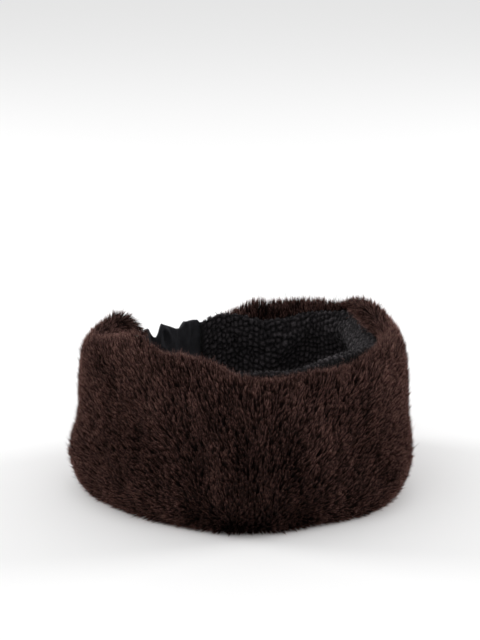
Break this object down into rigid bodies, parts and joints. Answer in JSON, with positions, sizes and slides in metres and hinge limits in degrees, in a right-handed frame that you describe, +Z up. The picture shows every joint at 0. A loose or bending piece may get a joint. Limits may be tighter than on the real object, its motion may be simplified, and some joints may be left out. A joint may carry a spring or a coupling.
{
  "type": "faux fur headband",
  "caption": "Wide faux fur winter headband with a teddy fleece lining and a gathered elastic casing at the nape, lying on its lower edge as an open ring.",
  "frame": {"origin": "centre of the object's bounding box in plan, on the surface that the lower edge rests on", "axes": "+Z up from the resting lower edge to the rim, -Y towards the wearer's front, +Y towards the nape where the gathered casing is, X across the ring at its widest"},
  "size_m": [0.2212, 0.196, 0.1189],
  "materials": {
    "faux_fur": "deep soft pile, dark espresso brown, paler at the tips",
    "teddy_fleece": "matt charcoal teddy fleece with small curled nubs",
    "woven_casing": "black closely woven cloth with a slight sheen"
  },
  "bodies": {
    "root": {"fur_band": "faux_fur", "fleece_lining": "teddy_fleece", "elastic_back": "woven_casing"}
  },
  "joints": []
}
